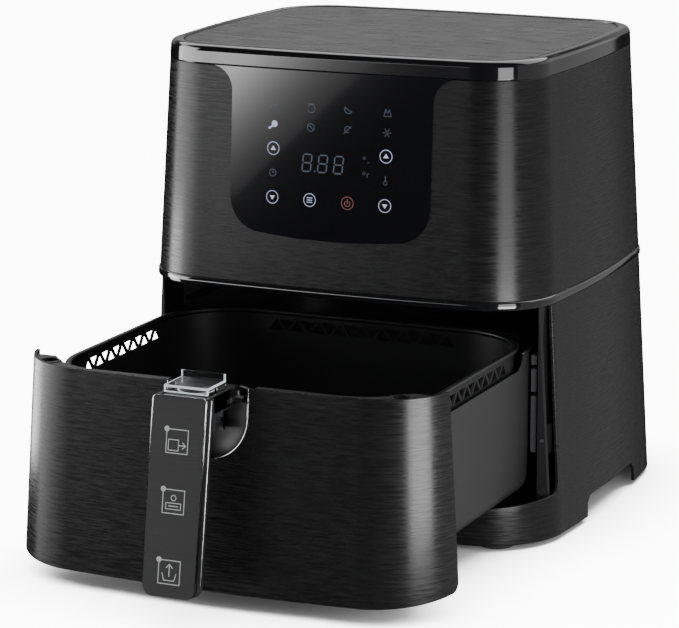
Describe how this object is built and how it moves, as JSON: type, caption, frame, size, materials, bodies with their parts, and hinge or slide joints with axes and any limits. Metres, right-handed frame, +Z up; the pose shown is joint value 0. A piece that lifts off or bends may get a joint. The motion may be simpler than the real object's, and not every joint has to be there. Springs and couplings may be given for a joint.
{
  "type": "air fryer",
  "caption": "Black air fryer with a pull-out drawer, a lift-out basket with a vertical handle and guarded release button, a touch panel and a dark brushed lid plate; drawer shown open.",
  "frame": {"origin": "Under the middle of the object's box with the drawer at rest, on the surface it stands on", "axes": "+Z is up, -Y is the way the drawer opens, X runs across the front"},
  "size_m": [0.3126, 0.5115, 0.325],
  "materials": {
    "basket_black": "non-stick coating",
    "board_green": "coated circuit board",
    "button_grey": "satin",
    "clear_plastic": "clear, polished",
    "duct_steel": "plain sheet",
    "element_dark": "oxidised steel tube",
    "gloss_black": "high gloss",
    "inner_black": "moulded, fine grain",
    "liner_steel": "plain sheet",
    "pad_grey": "silicone, matte",
    "pan_dark": "smooth non-stick coating",
    "panel_black": "high gloss touch panel",
    "rubber_black": "matte",
    "screw_steel": "turned",
    "sheet_steel": "plain sheet",
    "shell_black": "finely brushed look, satin",
    "top_brushed": "dark anodised, brushed",
    "trim_bright": "polished"
  },
  "bodies": {
    "housing": {"lower_housing": "shell_black", "base_plate": "inner_black", "rubber_feet": "rubber_black", "opening_frame": "inner_black", "mid_trim": "gloss_black", "upper_housing": "shell_black", "lid_ring": "gloss_black", "top_plate": "top_brushed", "control_panel": "panel_black", "touch_board": "board_green", "display_module": "inner_black", "rear_vent": "inner_black", "cord_gland": "rubber_black", "cavity_liner": "liner_steel", "side_guides": "inner_black", "floor_rails": "sheet_steel", "hood": "sheet_steel", "air_guide": "sheet_steel", "heating_element": "element_dark", "element_clips": "sheet_steel", "fan_motor": "duct_steel", "motor_bracket": "sheet_steel", "power_board": "board_green", "exhaust_duct": "duct_steel", "temperature_probe": "trim_bright", "door_switch": "inner_black", "frame_screws": "screw_steel"},
    "drawer": {"front_cover": "shell_black", "cover_frame": "inner_black", "grip_recess": "gloss_black", "latch_keeper": "screw_steel", "pan": "pan_dark", "pan_runners": "pad_grey", "cover_screws": "screw_steel"},
    "basket": {"basket": "basket_black", "basket_floor": "basket_black", "basket_pads": "pad_grey", "handle_bracket": "sheet_steel", "handle_core": "inner_black", "handle_trim": "trim_bright", "handle_face": "gloss_black", "handle_screws": "screw_steel", "latch_pin": "screw_steel", "button_spring": "screw_steel"},
    "guard": {"button_guard": "clear_plastic"},
    "button": {"release_button": "button_grey"},
    "latch": {"latch_lever": "sheet_steel"},
    "fan": {"convection_fan": "sheet_steel", "motor_shaft": "screw_steel", "cooling_fan": "inner_black"},
    "switch": {"switch_plunger": "button_grey"}
  },
  "joints": [
    {"name": "drawer_slide", "type": "slide", "parent": "housing", "child": "drawer", "axis": [0, -0.995, -0.0995], "range_m": [-0.1789, 0.022]},
    {"name": "basket_lift", "type": "slide", "parent": "drawer", "child": "basket", "axis": [0, 0, 1], "range_m": [0, 0.02]},
    {"name": "guard_slide", "type": "slide", "parent": "basket", "child": "guard", "axis": [0, -1, 0], "range_m": [0, 0.0155]},
    {"name": "button_press", "type": "slide", "parent": "basket", "child": "button", "axis": [0, 0, -1], "range_m": [0, 0.003], "stiffness_N_per_m": 300, "springref_m": -0.001, "deforming": ["button_spring"]},
    {"name": "latch_turn", "type": "hinge", "parent": "basket", "child": "latch", "pos_m": [0, -0.22588, 0.1265], "axis": [-1, 0, 0], "range_deg": [0, 15]},
    {"name": "fan_spin", "type": "hinge", "parent": "housing", "child": "fan", "pos_m": [0, 0.10712, 0.2], "axis": [0, 0, 1], "continuous": true},
    {"name": "switch_press", "type": "slide", "parent": "housing", "child": "switch", "axis": [0, 1, 0], "range_m": [0, 0.002], "stiffness_N_per_m": 200, "springref_m": -0.001}
  ],
  "couplings": [
    {"joint": "latch_turn", "follows": "button_press", "rad_per_m": 84}
  ]
}
